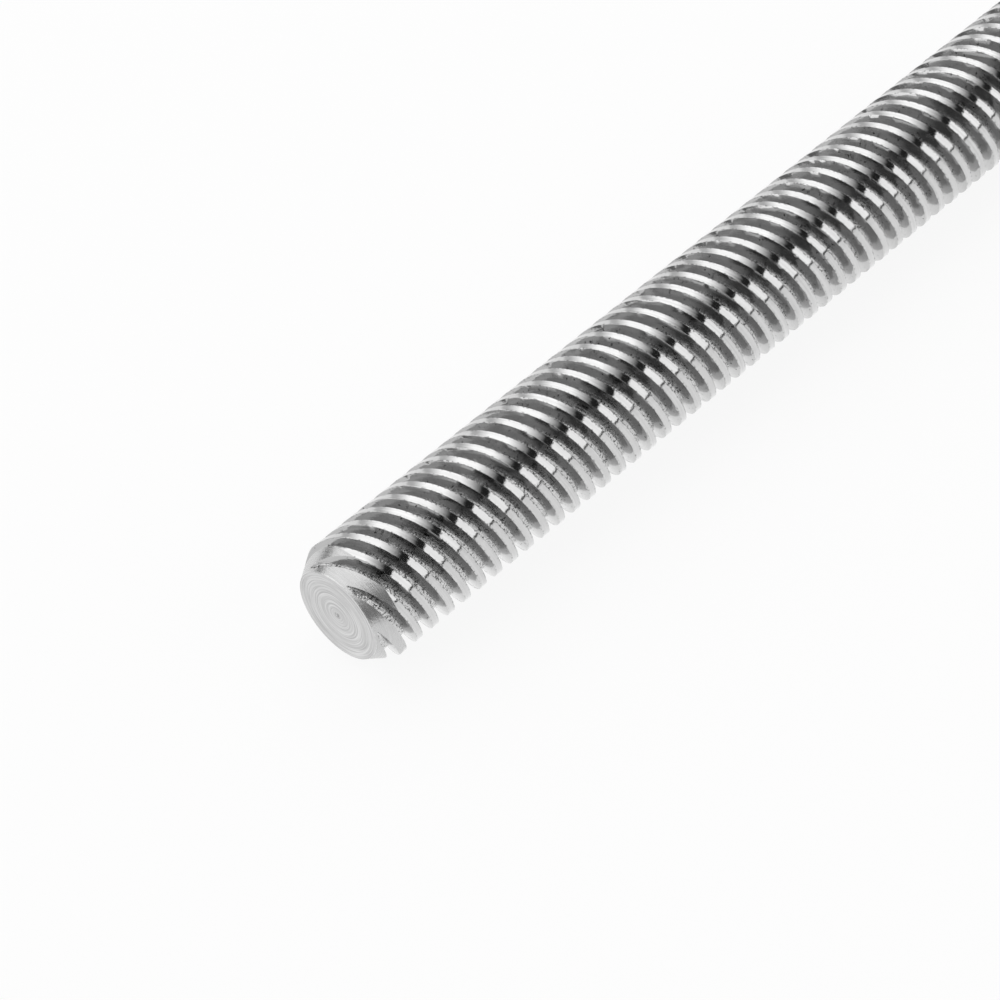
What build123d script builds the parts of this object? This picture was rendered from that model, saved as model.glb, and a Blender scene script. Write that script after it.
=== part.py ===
import os

from build123d import *

# Driving dimensions, in millimetres.
thread_diameter = 12.0  # over the crests of the thread
screw_length = 100.0  # from one faced end to the other
end_face_diameter = 9.15  # the flat left on each end, just inside the root of the thread
chamfer_length = 2.3  # along the axis, from the flat to the full diameter

# The screw lies on its side: its axis runs along X, and the crests touch Z = 0.
crest_radius = thread_diameter / 2
end_face_radius = end_face_diameter / 2
half_length = screw_length / 2
axis_height = crest_radius
full_diameter_from = half_length - chamfer_length
screw_axis = Axis((0, 0, axis_height), (1, 0, 0))

# One bright steel bar, turned to size, faced square at both ends and chamfered
# at a low angle so that a nut starts easily.
with BuildPart() as lead_screw:
    with BuildSketch(Plane.XZ) as half_section:
        with BuildLine() as outline:
            Polyline(
                (-half_length, axis_height),
                (-half_length, axis_height + end_face_radius),
                (-full_diameter_from, axis_height + crest_radius),
                (full_diameter_from, axis_height + crest_radius),
                (half_length, axis_height + end_face_radius),
                (half_length, axis_height),
                close=True,
            )
        make_face()
    revolve(axis=screw_axis)

lead_screw.part.label = "lead_screw"

os.makedirs("parts", exist_ok=True)
export_step(lead_screw.part, "parts/lead_screw.step")
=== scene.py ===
import math

import bpy
from mathutils import Matrix, Vector


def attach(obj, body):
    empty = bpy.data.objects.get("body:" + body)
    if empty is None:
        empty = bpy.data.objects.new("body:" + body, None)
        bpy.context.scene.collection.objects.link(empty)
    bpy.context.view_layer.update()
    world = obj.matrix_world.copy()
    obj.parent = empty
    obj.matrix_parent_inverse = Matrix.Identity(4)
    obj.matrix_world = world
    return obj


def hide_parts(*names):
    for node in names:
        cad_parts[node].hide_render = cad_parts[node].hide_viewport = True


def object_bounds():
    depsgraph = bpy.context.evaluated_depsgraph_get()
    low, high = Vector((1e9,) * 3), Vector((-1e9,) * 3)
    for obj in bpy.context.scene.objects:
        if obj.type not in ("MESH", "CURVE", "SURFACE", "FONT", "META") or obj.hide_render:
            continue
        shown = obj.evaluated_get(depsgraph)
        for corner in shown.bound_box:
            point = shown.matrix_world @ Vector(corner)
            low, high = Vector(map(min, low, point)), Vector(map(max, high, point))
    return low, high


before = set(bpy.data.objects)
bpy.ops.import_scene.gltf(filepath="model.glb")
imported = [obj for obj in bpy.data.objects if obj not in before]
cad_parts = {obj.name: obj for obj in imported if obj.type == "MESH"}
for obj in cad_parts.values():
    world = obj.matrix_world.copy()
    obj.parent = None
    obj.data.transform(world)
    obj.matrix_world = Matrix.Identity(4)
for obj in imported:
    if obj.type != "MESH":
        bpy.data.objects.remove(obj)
cad_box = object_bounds()

# ---------------------------------------------------------------- the threaded bar
# One bar of bright steel. Six right-hand starts are cut into it side by side, with a
# smooth, slightly hollow land on each crest and a rougher root between. The ends are
# faced square and turned to a low cone, so each groove runs out in a long wedge.
MM = 0.001
crest_radius = (cad_box[1].z - cad_box[0].z) / 2
bar_length = cad_box[1].x - cad_box[0].x
axis_height = crest_radius  # the bar lies on its crests
pitch = 2 * MM
starts = 6
lead = starts * pitch
thread_depth = 1.25 * MM
root_radius = crest_radius - thread_depth
crest_land = 0.366 * pitch
crest_hollow = 0.012 * MM
flank_angle = math.radians(15)
flank_run = thread_depth * math.tan(flank_angle)
near_round = 0.015 * MM
far_round = 0.045 * MM
fillet_run = 0.05 * MM
fillet_drop = 0.1 * MM
root_land = pitch - crest_land - 2 * flank_run
edge_waver = 0.02 * MM
root_waver = 0.03
face_radius = 4.575 * MM
chamfer_length = 2.3 * MM
ring_depth = 0.03 * MM
first_start_angle = math.radians(20.37)  # where a land's near edge meets the near end


def add_node(tree, kind, **settings):
    node = tree.nodes.new(kind)
    for name, value in settings.items():
        setattr(node, name, value)
    return node


def feed(tree, socket, value):
    """Joins a value to a socket, as a link where it comes from another node."""
    if isinstance(value, bpy.types.NodeSocket):
        tree.links.new(value, socket)
    else:
        socket.default_value = value


def calc(tree, operation, *values):
    """One step of arithmetic."""
    node = add_node(tree, "ShaderNodeMath", operation=operation)
    for socket, value in zip(node.inputs, values):
        feed(tree, socket, value)
    return node.outputs[0]


def ramp(tree, value, start, end, low=0.0, high=1.0):
    """Goes evenly from low to high while value goes from start to end, and holds outside."""
    node = add_node(tree, "ShaderNodeMapRange")
    sockets = {"Value": value, "From Min": start, "From Max": end, "To Min": low, "To Max": high}
    for name, part in sockets.items():
        feed(tree, node.inputs[name], part)
    return node.outputs["Result"]


def total(tree, parts):
    """The sum of several values."""
    result = parts[0]
    for part in parts[1:]:
        result = calc(tree, "ADD", result, part)
    return result


def product(tree, parts):
    """Several values multiplied together."""
    result = parts[0]
    for part in parts[1:]:
        result = calc(tree, "MULTIPLY", result, part)
    return result


def vector(tree, x, y, z):
    node = add_node(tree, "ShaderNodeCombineXYZ")
    for socket, value in zip(node.inputs, (x, y, z)):
        feed(tree, socket, value)
    return node.outputs[0]


def noise(tree, place, scale, detail=2.0):
    """Smooth noise between -1 and 1."""
    node = add_node(tree, "ShaderNodeTexNoise")
    feed(tree, node.inputs["Vector"], place)
    feed(tree, node.inputs["Scale"], scale)
    feed(tree, node.inputs["Detail"], detail)
    return ramp(tree, node.outputs[0], 0.2, 0.8, -1.0, 1.0)


def new_tree(name, sizes):
    """A Geometry Nodes tree with a named input for each size, and its inputs by name."""
    kinds = {
        float: "NodeSocketFloat",
        int: "NodeSocketInt",
        bpy.types.Material: "NodeSocketMaterial",
    }
    tree = bpy.data.node_groups.new(name, "GeometryNodeTree")
    for label, value in sizes.items():
        tree.interface.new_socket(label, in_out="INPUT", socket_type=kinds[type(value)])
    tree.interface.new_socket("Geometry", in_out="OUTPUT", socket_type="NodeSocketGeometry")
    inputs = add_node(tree, "NodeGroupInput").outputs
    return tree, {label: inputs[label] for label in sizes}


def finish_tree(tree, geometry, steel):
    """Ends a tree: what is repeated becomes real, and everything gets its material."""
    real = add_node(tree, "GeometryNodeRealizeInstances")
    tree.links.new(geometry, real.inputs[0])
    dressed = add_node(tree, "GeometryNodeSetMaterial")
    tree.links.new(real.outputs[0], dressed.inputs["Geometry"])
    tree.links.new(steel, dressed.inputs["Material"])
    output = add_node(tree, "NodeGroupOutput")
    tree.links.new(dressed.outputs[0], output.inputs[0])


def made_by(tree, sizes, name):
    """Runs a tree with its sizes and keeps the result as an object with a plain mesh."""
    piece = bpy.data.objects.new(name, bpy.data.meshes.new(name))
    bpy.context.collection.objects.link(piece)
    modifier = piece.modifiers.new(name, "NODES")
    modifier.node_group = tree
    for item in tree.interface.items_tree:
        if item.in_out == "INPUT":
            modifier[item.identifier] = sizes[item.name]
    bpy.context.view_layer.update()
    graph = bpy.context.evaluated_depsgraph_get()
    mesh = bpy.data.meshes.new_from_object(piece.evaluated_get(graph), depsgraph=graph)
    piece.modifiers.remove(modifier)
    piece.data = mesh
    mesh.name = name
    return piece


def around(tree, radius, angle):
    """Y and Z, from the bar's axis, of a place at a radius and an angle."""
    y = calc(tree, "MULTIPLY", radius, calc(tree, "COSINE", angle))
    z = calc(tree, "MULTIPLY", radius, calc(tree, "SINE", angle))
    return y, z


def swept_surface(tree, rows, columns, place):
    """A closed skin round the axis: place(row, column) gives along, radius and angle."""
    weld_distance = 1e-7
    across = calc(tree, "ADD", columns, 1)
    grid = add_node(tree, "GeometryNodeMeshGrid")
    feed(tree, grid.inputs["Vertices X"], rows)
    feed(tree, grid.inputs["Vertices Y"], across)
    index = add_node(tree, "GeometryNodeInputIndex").outputs[0]
    row = calc(tree, "FLOOR", calc(tree, "DIVIDE", calc(tree, "ADD", index, 0.5), across))
    column = calc(tree, "SUBTRACT", index, calc(tree, "MULTIPLY", row, across))
    along, radius, angle = place(row, column)
    y, z = around(tree, radius, angle)
    moved = add_node(tree, "GeometryNodeSetPosition")
    feed(tree, moved.inputs["Geometry"], grid.outputs["Mesh"])
    feed(tree, moved.inputs["Position"], vector(tree, along, y, z))
    closed = add_node(tree, "GeometryNodeMergeByDistance")
    feed(tree, closed.inputs["Geometry"], moved.outputs[0])
    feed(tree, closed.inputs["Distance"], weld_distance)
    return closed.outputs[0]


def turned_angle(tree, size, along, across):
    """The angle at which a line of the thread passes a place along the bar."""
    turns = calc(tree, "DIVIDE", calc(tree, "SUBTRACT", along, across), size["Lead"])
    return calc(tree, "MULTIPLY_ADD", turns, math.tau, size["Start Angle"])


def thread_skin(tree, size):
    """The six starts as cut, a little longer than the bar at both ends."""
    crest_columns = 4
    overshoot = 0.51  # of the bar's length, to each side of its middle
    wavers_per_metre = 700.0
    start_shift = 5.0  # how far apart the noise is read from start to start
    step_shift = 0.35  # and from one step of the profile to the next
    profile = (  # columns, run along the axis, drop towards the axis
        (crest_columns, size["Crest Land"], 0.0),
        (1, size["Far Round"], size["Far Round"]),
        (2, size["Far Flank Run"], size["Far Flank Drop"]),
        (2, size["Fillet Run"], size["Fillet Drop"]),
        (3, size["Root Land"], 0.0),
        (2, size["Fillet Run"], calc(tree, "MULTIPLY", size["Fillet Drop"], -1.0)),
        (2, size["Near Flank Run"], calc(tree, "MULTIPLY", size["Near Flank Drop"], -1.0)),
        (1, size["Near Round"], calc(tree, "MULTIPLY", size["Near Round"], -1.0)),
    )
    per_start = sum(columns for columns, run, drop in profile)
    rows = size["Thread Rows"]
    last_row = calc(tree, "SUBTRACT", rows, 1)

    def place(row, column):
        start = calc(tree, "FLOOR", calc(tree, "DIVIDE", calc(tree, "ADD", column, 0.5), per_start))
        step = calc(tree, "SUBTRACT", column, calc(tree, "MULTIPLY", start, per_start))
        runs = []
        drops = []
        done = 0
        for columns, run, drop in profile:
            part = ramp(tree, step, done, done + columns)
            runs.append(calc(tree, "MULTIPLY", part, run))
            if drop != 0.0:
                drops.append(calc(tree, "MULTIPLY", part, drop))
            done += columns
        along = ramp(tree, row, 1, calc(tree, "SUBTRACT", last_row, 1),
                     calc(tree, "MULTIPLY", size["Length"], -overshoot),
                     calc(tree, "MULTIPLY", size["Length"], overshoot))
        lap = calc(tree, "MULTIPLY", calc(tree, "FLOORED_MODULO", start, size["Starts"]), start_shift)
        inner_step = calc(tree, "MULTIPLY", calc(tree, "FLOORED_MODULO", step, per_start), step_shift)
        spot = vector(tree, calc(tree, "MULTIPLY", along, wavers_per_metre), lap, inner_step)
        waver = noise(tree, spot, 1.0)
        across = total(tree, [calc(tree, "MULTIPLY", start, size["Pitch"])] + runs
                       + [calc(tree, "MULTIPLY", waver, size["Edge Waver"])])
        on_land = ramp(tree, step, 0, crest_columns)
        bow = product(tree, [on_land, calc(tree, "SUBTRACT", 1.0, on_land), 4.0])  # 1 in the middle
        hollow = calc(tree, "MULTIPLY", bow, size["Crest Hollow"])
        depth = calc(tree, "MULTIPLY", total(tree, drops),
                     calc(tree, "MULTIPLY_ADD", waver, size["Root Waver"], 1.0))
        radius = calc(tree, "SUBTRACT", calc(tree, "SUBTRACT", size["Crest Radius"], depth), hollow)
        inside = calc(tree, "MULTIPLY", calc(tree, "GREATER_THAN", row, 0.5),
                      calc(tree, "LESS_THAN", row, calc(tree, "SUBTRACT", last_row, 0.5)))
        return along, calc(tree, "MULTIPLY", radius, inside), turned_angle(tree, size, along, across)

    return swept_surface(tree, rows, calc(tree, "MULTIPLY", size["Starts"], per_start), place)


def turned_blank(tree, size):
    """What the lathe leaves: two faced ends with their rings, and two cones."""
    overshoot = 1.3  # the cone runs on past the crests, where the thread's skin cuts it off
    rings_across = 11.0
    rim_from, pip_to = 0.94, 0.06  # shares of the face's radius
    pip_depth = 2.0  # times the rings' own
    face, cone = size["Face Rings"], size["Cone Rings"]
    half = calc(tree, "ADD", face, cone)
    rows = calc(tree, "MULTIPLY_ADD", half, 2, 2)

    def place(row, column):
        angle = calc(tree, "MULTIPLY", column, calc(tree, "DIVIDE", math.tau, size["Lathe Columns"]))
        other = calc(tree, "SUBTRACT", calc(tree, "SUBTRACT", rows, 1), row)
        from_end = calc(tree, "MINIMUM", row, other)
        side = calc(tree, "SIGN", calc(tree, "SUBTRACT", row, other))
        out = ramp(tree, from_end, 0, face)
        up = ramp(tree, from_end, face, half)
        climb = calc(tree, "SUBTRACT", size["Crest Radius"], size["Face Radius"])
        radius = calc(tree, "ADD", calc(tree, "MULTIPLY", out, size["Face Radius"]),
                      product(tree, [up, climb, overshoot]))
        back = product(tree, [up, size["Chamfer Length"], overshoot])
        ring = noise(tree, vector(tree, calc(tree, "MULTIPLY", out, rings_across), side, 0.5), 1.0, 3.0)
        inner = ramp(tree, out, rim_from, 1.0, 1.0, 0.0)
        pip = ramp(tree, out, 0.0, pip_to, pip_depth, 0.0)
        dip = product(tree, [calc(tree, "ADD", calc(tree, "MULTIPLY_ADD", ring, 0.5, 0.5), pip),
                             inner, size["Ring Depth"]])
        reach = calc(tree, "MULTIPLY", size["Length"], 0.5)
        along = calc(tree, "MULTIPLY", side, calc(tree, "SUBTRACT", reach, calc(tree, "ADD", back, dip)))
        return along, radius, angle

    return swept_surface(tree, rows, size["Lathe Columns"], place)


def bar_zones(tree):
    """Where a point lies on the bar, and how much it belongs to each kind of surface."""
    face_blend = (2.2 * ring_depth, 3 * ring_depth)
    cone_blend = (0.012 * MM, 0.03 * MM)
    crest_blend = (crest_radius - 0.06 * MM, crest_radius - 0.03 * MM)
    root_blend = (root_radius + 0.05 * MM, root_radius + 0.14 * MM)
    ridge_shift = 7.0  # how far apart the noise is read from one ridge to the next
    spot = add_node(tree, "ShaderNodeTexCoord").outputs["Object"]
    split = add_node(tree, "ShaderNodeSeparateXYZ")
    feed(tree, split.inputs[0], spot)
    along, y = split.outputs[0], split.outputs[1]
    z = calc(tree, "SUBTRACT", split.outputs[2], axis_height)
    squares = calc(tree, "ADD", calc(tree, "MULTIPLY", y, y), calc(tree, "MULTIPLY", z, z))
    radius = calc(tree, "SQRT", squares)
    angle = calc(tree, "ARCTAN2", z, y)
    turns = calc(tree, "DIVIDE", calc(tree, "SUBTRACT", angle, first_start_angle), math.tau)
    pitches = calc(tree, "DIVIDE", calc(tree, "SUBTRACT", along, calc(tree, "MULTIPLY", turns, lead)), pitch)
    ridge = calc(tree, "FLOOR", pitches)
    from_end = calc(tree, "SUBTRACT", bar_length / 2, calc(tree, "ABSOLUTE", along))
    slope = (crest_radius - face_radius) / chamfer_length
    cone_radius = calc(tree, "MULTIPLY_ADD", from_end, slope, face_radius)
    off_cone = calc(tree, "ABSOLUTE", calc(tree, "SUBTRACT", radius, cone_radius))
    face = ramp(tree, from_end, *face_blend, 1.0, 0.0)
    cone = product(tree, [ramp(tree, off_cone, *cone_blend, 1.0, 0.0),
                          calc(tree, "SUBTRACT", 1.0, face)])
    rest = calc(tree, "SUBTRACT", 1.0, calc(tree, "MAXIMUM", face, cone))
    crest = product(tree, [rest, ramp(tree, radius, *crest_blend)])
    root = product(tree, [rest, ramp(tree, radius, *root_blend, 1.0, 0.0)])
    flank = calc(tree, "SUBTRACT", calc(tree, "SUBTRACT", rest, crest), root)
    place = {
        "spot": spot,
        "along": along,
        "radius": radius,
        "across": calc(tree, "SUBTRACT", pitches, ridge),
        "ridge": calc(tree, "MULTIPLY", calc(tree, "FLOORED_MODULO", ridge, starts), ridge_shift),
        "y": y,
        "z": z,
    }
    return place, {"crest": crest, "flank": flank, "root": root, "cone": cone, "face": face}


def stretched(tree, parts, lines_per_mm):
    """A place for noise, in which each part runs at its own number of lines a millimetre."""
    scaled = [calc(tree, "MULTIPLY", part, lines / MM) for part, lines in zip(parts, lines_per_mm)]
    return vector(tree, *scaled)


def bright_steel_material():
    """Bright steel: smooth lands and flanks, torn roots, and turned ends."""
    material = bpy.data.materials.new("bright_steel")
    material.use_nodes = True
    tree = material.node_tree
    shader = tree.nodes["Principled BSDF"]
    shader.inputs["Metallic"].default_value = 1.0
    place, share = bar_zones(tree)
    lines_over_pitch = 9.0
    land_line = vector(tree, calc(tree, "MULTIPLY", place["along"], 0.25 / MM),
                       calc(tree, "MULTIPLY", place["across"], lines_over_pitch), place["ridge"])
    flank_line = vector(tree, calc(tree, "MULTIPLY", place["along"], 0.5 / MM),
                        calc(tree, "MULTIPLY", place["radius"], 7.0 / MM), place["ridge"])
    cone_ring = stretched(tree, (place["along"], place["y"], place["z"]), (9.0, 0.35, 0.35))
    face_ring = stretched(tree, (place["radius"], place["y"], place["z"]), (8.0, 0.25, 0.25))
    streak = noise(tree, land_line, 1.0, 3.0)
    scratch = noise(tree, flank_line, 1.0, 3.0)
    cone_mark = noise(tree, cone_ring, 1.0, 3.0)
    face_mark = noise(tree, face_ring, 1.0, 3.0)
    grain = noise(tree, place["spot"], 5.0 / MM, 3.0)
    blotch = noise(tree, place["spot"], 0.6 / MM, 2.0)
    speck_rise = (0.14, 0.42)  # the noise at which a speck begins, and is full
    pit_rise = (0.62, 0.85)
    speck = ramp(tree, noise(tree, place["spot"], 4.5 / MM, 2.0), *speck_rise)
    pit = ramp(tree, noise(tree, place["spot"], 2.6 / MM, 1.0), *pit_rise)
    finish = {  # zone: colour, its swing, roughness, line, line depth in mm, grain depth in mm
        "crest": (0.62, 0.10, 0.08, streak, 0.0040, 0.0010),
        # The flanks are the same steel as the lands but get a darker colour, which is painted shade on them.
        "flank": (0.49, 0.08, 0.10, scratch, 0.0019, 0.0014),
        "root": (0.66, 0.28, 0.20, scratch, 0.0080, 0.0200),
        "cone": (0.60, 0.10, 0.27, cone_mark, 0.0060, 0.0040),
        "face": (0.62, 0.38, 0.34, face_mark, 0.0060, 0.0050),
    }
    matt_swing = 0.15
    colours = []
    roughnesses = []
    heights = []
    for zone, (colour, swing, roughness, line, line_depth, grain_depth) in finish.items():
        tone = calc(tree, "MULTIPLY_ADD", line, swing * colour, colour)
        colours.append(calc(tree, "MULTIPLY", share[zone], tone))
        matt = calc(tree, "MULTIPLY_ADD", line, matt_swing * roughness, roughness)
        roughnesses.append(calc(tree, "MULTIPLY", share[zone], matt))
        height = calc(tree, "ADD", calc(tree, "MULTIPLY", line, line_depth),
                      calc(tree, "MULTIPLY", grain, grain_depth))
        heights.append(calc(tree, "MULTIPLY", share[zone], height))
    wear = 0.04
    darkening = -0.75  # what a speck, pit or nick does to the colour
    roughening = 0.2  # and to the roughness
    nick_from_edge = (0.02, 0.07)  # in pitches
    nick_share = 0.8
    pip_rise = (-0.5, 0.6)
    pip_radii = (0.08 * MM, 0.42 * MM)
    worn = calc(tree, "MULTIPLY_ADD", blotch, wear, 1.0)
    from_edge = calc(tree, "MINIMUM", place["across"],
                     calc(tree, "SUBTRACT", crest_land / pitch, place["across"]))
    nick = product(tree, [speck, share["crest"], ramp(tree, from_edge, *nick_from_edge, nick_share, 0.0)])
    pip = product(tree, [share["face"], ramp(tree, place["radius"], *pip_radii, 1.0, 0.0),
                         ramp(tree, grain, *pip_rise)])
    dark = total(tree, [calc(tree, "MULTIPLY", speck, share["root"]),
                        calc(tree, "MULTIPLY", pit, share["flank"]), nick, pip])
    shade = product(tree, [total(tree, colours), worn, calc(tree, "MULTIPLY_ADD", dark, darkening, 1.0)])
    colour = add_node(tree, "ShaderNodeCombineColor")
    for socket in colour.inputs:
        feed(tree, socket, shade)
    feed(tree, shader.inputs["Base Color"], colour.outputs[0])
    matted = calc(tree, "MULTIPLY", dark, roughening)
    feed(tree, shader.inputs["Roughness"], total(tree, roughnesses + [matted]))
    bump = add_node(tree, "ShaderNodeBump")
    bump.inputs["Distance"].default_value = MM
    feed(tree, bump.inputs["Height"], total(tree, heights))
    feed(tree, shader.inputs["Normal"], bump.outputs[0])
    return material


bright_steel = bright_steel_material()
bar_sizes = {
    "Length": bar_length,
    "Crest Radius": crest_radius,
    "Pitch": pitch,
    "Lead": lead,
    "Starts": starts,
    "Start Angle": first_start_angle,
    "Crest Land": crest_land,
    "Crest Hollow": crest_hollow,
    "Near Round": near_round,
    "Far Round": far_round,
    "Edge Waver": edge_waver,
    "Near Flank Run": flank_run - near_round,
    "Near Flank Drop": thread_depth - near_round - fillet_drop,
    "Far Flank Run": flank_run - far_round,
    "Far Flank Drop": thread_depth - far_round - fillet_drop,
    "Fillet Run": fillet_run,
    "Fillet Drop": fillet_drop,
    "Root Land": root_land - 2 * fillet_run,
    "Root Waver": root_waver,
    "Thread Rows": 660,
    "Face Radius": face_radius,
    "Chamfer Length": chamfer_length,
    "Ring Depth": ring_depth,
    "Face Rings": 64,
    "Cone Rings": 16,
    "Lathe Columns": 128,
    "Steel": bright_steel,
}
tree, size = new_tree("six_start_screw", bar_sizes)
cut = add_node(tree, "GeometryNodeMeshBoolean", operation="INTERSECT", solver="MANIFOLD")
tree.links.new(thread_skin(tree, size), cut.inputs["Mesh 2"])
tree.links.new(turned_blank(tree, size), cut.inputs["Mesh 2"])
lifted = add_node(tree, "GeometryNodeTransform")
tree.links.new(cut.outputs["Mesh"], lifted.inputs["Geometry"])
lifted.inputs["Translation"].default_value = (0, 0, axis_height)
smooth = add_node(tree, "GeometryNodeSetShadeSmooth", domain="FACE")
tree.links.new(lifted.outputs[0], smooth.inputs["Geometry"])
sharp_from = math.radians(28)
bend = add_node(tree, "GeometryNodeInputMeshEdgeAngle").outputs["Unsigned Angle"]
edges = add_node(tree, "GeometryNodeSetShadeSmooth", domain="EDGE")
tree.links.new(smooth.outputs[0], edges.inputs["Geometry"])
tree.links.new(calc(tree, "GREATER_THAN", bend, sharp_from), edges.inputs["Selection"])
edges.inputs["Shade Smooth"].default_value = False
finish_tree(tree, edges.outputs[0], size["Steel"])
threaded_bar = made_by(tree, bar_sizes, "threaded_bar")
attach(threaded_bar, "root")
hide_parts("lead_screw")

# ---------------------------------------------------------------- burrs on the lands' edges
# The cutting tool tears the lands' edges here and there. It leaves short slivers of the
# same steel, still fixed to the bar, lying along the edges in patches.
patches_per_metre = 150.0
bare_below = 0.15  # slivers stay only where the patches' noise is above this
burr_sizes = {
    "Count": 1400,
    "Reach": bar_length / 2 - chamfer_length - 0.4 * MM,
    "Crest Radius": crest_radius,
    "Pitch": pitch,
    "Lead": lead,
    "Starts": starts,
    "Start Angle": first_start_angle,
    "Crest Land": crest_land,
    "Burr Length": 0.16 * MM,
    "Burr Thickness": 0.02 * MM,
    "Steel": bright_steel,
}


def chance(tree, low, high, seed):
    """A random number for each sliver, from a fixed seed."""
    node = add_node(tree, "FunctionNodeRandomValue", data_type="FLOAT")
    feed(tree, node.inputs[2], low)
    feed(tree, node.inputs[3], high)
    feed(tree, node.inputs["Seed"], seed)
    return node.outputs[1]


tree, size = new_tree("burrs", burr_sizes)
along = chance(tree, calc(tree, "MULTIPLY", size["Reach"], -1.0), size["Reach"], 3)
edge = calc(tree, "FLOOR", chance(tree, 0.0, calc(tree, "MULTIPLY", size["Starts"], 2.0), 5))
start = calc(tree, "FLOOR", calc(tree, "DIVIDE", edge, 2.0))
far_side = calc(tree, "SUBTRACT", edge, calc(tree, "MULTIPLY", start, 2.0))
across = calc(tree, "ADD", calc(tree, "MULTIPLY", start, size["Pitch"]),
              calc(tree, "MULTIPLY", far_side, size["Crest Land"]))
angle = turned_angle(tree, size, along, across)
sunk = chance(tree, 1.6, 3.0, 7)  # below the crest, in thicknesses
burr_radius = calc(tree, "SUBTRACT", size["Crest Radius"],
                   calc(tree, "MULTIPLY", size["Burr Thickness"], sunk))
y, z = around(tree, burr_radius, angle)
spots = add_node(tree, "GeometryNodePoints")
feed(tree, spots.inputs["Count"], size["Count"])
feed(tree, spots.inputs["Position"], vector(tree, along, y, calc(tree, "ADD", z, size["Crest Radius"])))
patch = noise(tree, vector(tree, calc(tree, "MULTIPLY", along, patches_per_metre), edge, 0.0), 1.0)
kept = add_node(tree, "GeometryNodeDeleteGeometry", domain="POINT")
tree.links.new(spots.outputs[0], kept.inputs["Geometry"])
feed(tree, kept.inputs["Selection"], calc(tree, "LESS_THAN", patch, bare_below))
sliver = add_node(tree, "GeometryNodeMeshCone")
sliver_sizes = {
    "Vertices": 4,
    "Side Segments": 1,
    "Fill Segments": 1,
    "Radius Top": 0.0,
    "Radius Bottom": size["Burr Thickness"],
    "Depth": size["Burr Length"],
}
for name, value in sliver_sizes.items():
    feed(tree, sliver.inputs[name], value)
flat = add_node(tree, "GeometryNodeSetShadeSmooth", domain="FACE")
tree.links.new(sliver.outputs["Mesh"], flat.inputs["Geometry"])
flat.inputs["Shade Smooth"].default_value = False
own_place = add_node(tree, "ShaderNodeSeparateXYZ")
tree.links.new(add_node(tree, "GeometryNodeInputPosition").outputs[0], own_place.inputs[0])
lead_rise = calc(tree, "DIVIDE", size["Lead"], math.tau)
edge_y = calc(tree, "SUBTRACT", size["Crest Radius"], own_place.outputs[2])
along_edge = add_node(tree, "FunctionNodeAlignRotationToVector", axis="Z")
off_line = chance(tree, -1.0, 2.5, 17)  # 1 lies along the edge
lean = calc(tree, "MULTIPLY", lead_rise, off_line)
feed(tree, along_edge.inputs["Vector"], vector(tree, lean, edge_y, own_place.outputs[1]))
thickness = chance(tree, 0.5, 1.4, 11)  # times the sliver's own
length = chance(tree, 0.4, 1.5, 13)
placed = add_node(tree, "GeometryNodeInstanceOnPoints")
tree.links.new(kept.outputs[0], placed.inputs["Points"])
tree.links.new(flat.outputs[0], placed.inputs["Instance"])
tree.links.new(along_edge.outputs[0], placed.inputs["Rotation"])
feed(tree, placed.inputs["Scale"], vector(tree, thickness, thickness, length))
finish_tree(tree, placed.outputs[0], size["Steel"])
edge_burrs = made_by(tree, burr_sizes, "edge_burrs")
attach(edge_burrs, "root")

# ---------------------------------------------------------------- the floor
# A plain white floor. It glows white in the steel, and to the eye as well but for a small
# share of its paint, which takes the bar's shadow.
floor_reach = 3.0
floor_paint = 0.92
glow_to_the_eye = 0.9


def glowing(name, strength):
    """A material that gives off even white light."""
    material = bpy.data.materials.new(name)
    material.use_nodes = True
    tree = material.node_tree
    tree.nodes.remove(tree.nodes["Principled BSDF"])
    glow = add_node(tree, "ShaderNodeEmission", name="glow")
    glow.inputs["Color"].default_value = (1, 1, 1, 1)
    glow.inputs["Strength"].default_value = strength
    tree.links.new(glow.outputs[0], tree.nodes["Material Output"].inputs["Surface"])
    return material


def stage_plate(name, corners, faces, material):
    """A floor, card or soft box, which belongs to the studio."""
    mesh = bpy.data.meshes.new(name)
    mesh.from_pydata(corners, [], faces)
    mesh.materials.append(material)
    plate = bpy.data.objects.new(name, mesh)
    bpy.context.collection.objects.link(plate)
    return plate


def floor_material():
    material = glowing("white_floor", 1.0)
    tree = material.node_tree
    paint = add_node(tree, "ShaderNodeBsdfDiffuse")
    paint.inputs["Color"].default_value = (floor_paint, floor_paint, floor_paint, 1)
    path = add_node(tree, "ShaderNodeLightPath").outputs
    mirrored = calc(tree, "MAXIMUM", path["Is Glossy Ray"], path["Is Transmission Ray"])
    by_eye = calc(tree, "MULTIPLY", path["Is Camera Ray"], glow_to_the_eye)
    mix = add_node(tree, "ShaderNodeMixShader")
    feed(tree, mix.inputs[0], calc(tree, "MAXIMUM", by_eye, mirrored))
    tree.links.new(paint.outputs[0], mix.inputs[1])
    tree.links.new(tree.nodes["glow"].outputs[0], mix.inputs[2])
    tree.links.new(mix.outputs[0], tree.nodes["Material Output"].inputs["Surface"])
    return material


floor_corners = [(-floor_reach, -floor_reach, 0), (floor_reach, -floor_reach, 0),
                 (floor_reach, floor_reach, 0), (-floor_reach, floor_reach, 0)]
stage_plate("floor", floor_corners, [(0, 1, 2, 3)], floor_material())

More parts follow.
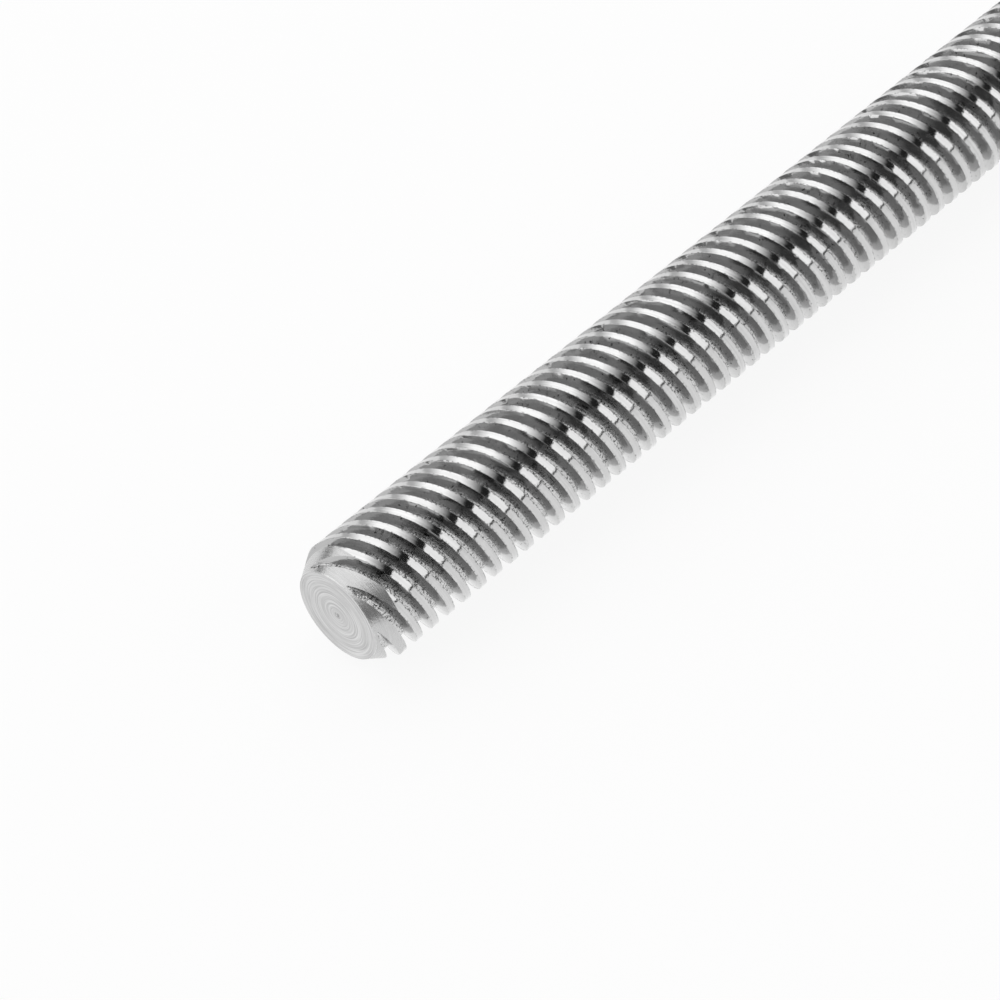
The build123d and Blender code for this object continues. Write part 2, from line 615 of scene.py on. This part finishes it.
# ---------------------------------------------------------------- the studio
# A white room, with long panels bent round the bar, which the eye doesn't see: soft boxes
# on both sides, a black strip near the top, a narrow dark gap low on the right, and dark
# cards towards the near end. The steel shows them as its lights and darks.
room = bpy.data.worlds.new("white_room")
bpy.context.scene.world = room
room.use_nodes = True
room.node_tree.nodes["Background"].inputs["Color"].default_value = (1, 1, 1, 1)
room.node_tree.nodes["Background"].inputs["Strength"].default_value = 1.0
panel_distance = 0.8
panel_steps = 24
near_end = -5.0
far_end = 1.8
side_from = -0.2  # where the panels beside the bar begin
right_from = 0.05  # where those on its right begin
end_from = -0.88  # where those beyond its near end begin


def fade(panel, first, last, strength, faded):
    """Lets a panel's light go from one strength to another between two angles in radians."""
    tree = panel.data.materials[0].node_tree
    split = add_node(tree, "ShaderNodeSeparateXYZ")
    feed(tree, split.inputs[0], add_node(tree, "ShaderNodeTexCoord").outputs["Object"])
    height = calc(tree, "SUBTRACT", split.outputs[2], axis_height)
    angle = calc(tree, "ARCTAN2", height, split.outputs[1])
    light = ramp(tree, angle, first, last, strength, faded)
    feed(tree, tree.nodes["glow"].inputs["Strength"], light)


def long_panel(name, first_angle, last_angle, x_from, x_to, strength, fade_from=None, faded=0.0):
    """A panel bent round the bar between two angles, in degrees up from its left side.

    From the angle fade_from to its last, its light may go from its strength to faded.
    """
    first = math.radians(first_angle)
    last = math.radians(last_angle)
    corners = []
    faces = []
    for step in range(panel_steps + 1):
        angle = first + (last - first) * step / panel_steps
        y = panel_distance * math.cos(angle)
        z = axis_height + panel_distance * math.sin(angle)
        corners += [(x_from, y, z), (x_to, y, z)]
    for step in range(panel_steps):
        faces.append((2 * step, 2 * step + 1, 2 * step + 3, 2 * step + 2))
    panel = stage_plate(name, corners, faces, glowing(name, strength))
    panel.visible_camera = False
    panel.data.materials[0].cycles.emission_sampling = "NONE"
    if fade_from is not None:
        fade(panel, math.radians(fade_from), last, strength, faded)


long_panel("soft_box_foot", 14, 36, side_from, far_end, 0.68, fade_from=14, faded=1.5)
long_panel("soft_box_left", 36, 107, side_from, far_end, 1.5, fade_from=70, faded=0.05)
long_panel("soft_box_near", 20, 140, end_from, side_from, 1.15, fade_from=100, faded=0.25)
long_panel("soft_box_end", 20, 104, near_end, end_from, 1.5, fade_from=86, faded=0.2)
long_panel("black_strip", 107, 122, side_from, far_end, 0.02)
long_panel("soft_box_right", 122, 160, right_from, far_end, 1.25)
long_panel("seam", 160, 164, right_from, far_end, 0.06)
long_panel("soft_box_foot_right", 164, 178, right_from, far_end, 0.95)
long_panel("dark_card_side", 123, 140, side_from, right_from, 0.2)
long_panel("dark_card_near", 140, 179.5, near_end, right_from, 0.25)
long_panel("dark_card_end", 104, 140, near_end, end_from, 0.12)
grey_to = 0.1
long_panel("grey_horizon_near", 1, 17, near_end, grey_to, 0.18)
long_panel("grey_horizon_far", 1, 14, grey_to, far_end, 0.62)

end_card_left = 0.7
end_card_right = -1
end_card_height = 1.2
end_card_corners = [
    (near_end, end_card_right, 0),
    (near_end, end_card_left, 0),
    (near_end, end_card_left, end_card_height),
    (near_end, end_card_right, end_card_height),
]
end_card = stage_plate("end_card", end_card_corners, [(0, 1, 2, 3)], glowing("end_card", 0.15))
end_card.visible_camera = False

# ---------------------------------------------------------------- the camera
# It looks down on the near end from the left, with the bar running away to the right.
azimuth = math.radians(-46.44)
elevation = math.radians(50.33)
right = Vector((math.cos(azimuth), math.sin(azimuth), 0))
level = Vector((-math.sin(azimuth), math.cos(azimuth), 0))
near_centre = Vector((-bar_length / 2, 0, axis_height))
forward = level * math.cos(elevation) - Vector((0, 0, math.sin(elevation)))
up = right.cross(forward)
end_right = -14.0076 * MM  # where the near end lies, seen from the camera
end_down = 9.9816 * MM
end_away = 390.073 * MM
camera = bpy.data.objects.new("camera", bpy.data.cameras.new("camera"))
bpy.context.collection.objects.link(camera)
camera.data.sensor_width = 36
camera.data.lens = 162.96
camera.location = near_centre - (right * end_right - up * end_down + forward * end_away)
camera.rotation_euler = Matrix((right, up, -forward)).transposed().to_euler()
bpy.context.scene.camera = camera
bpy.context.scene.view_settings.view_transform = "Standard"
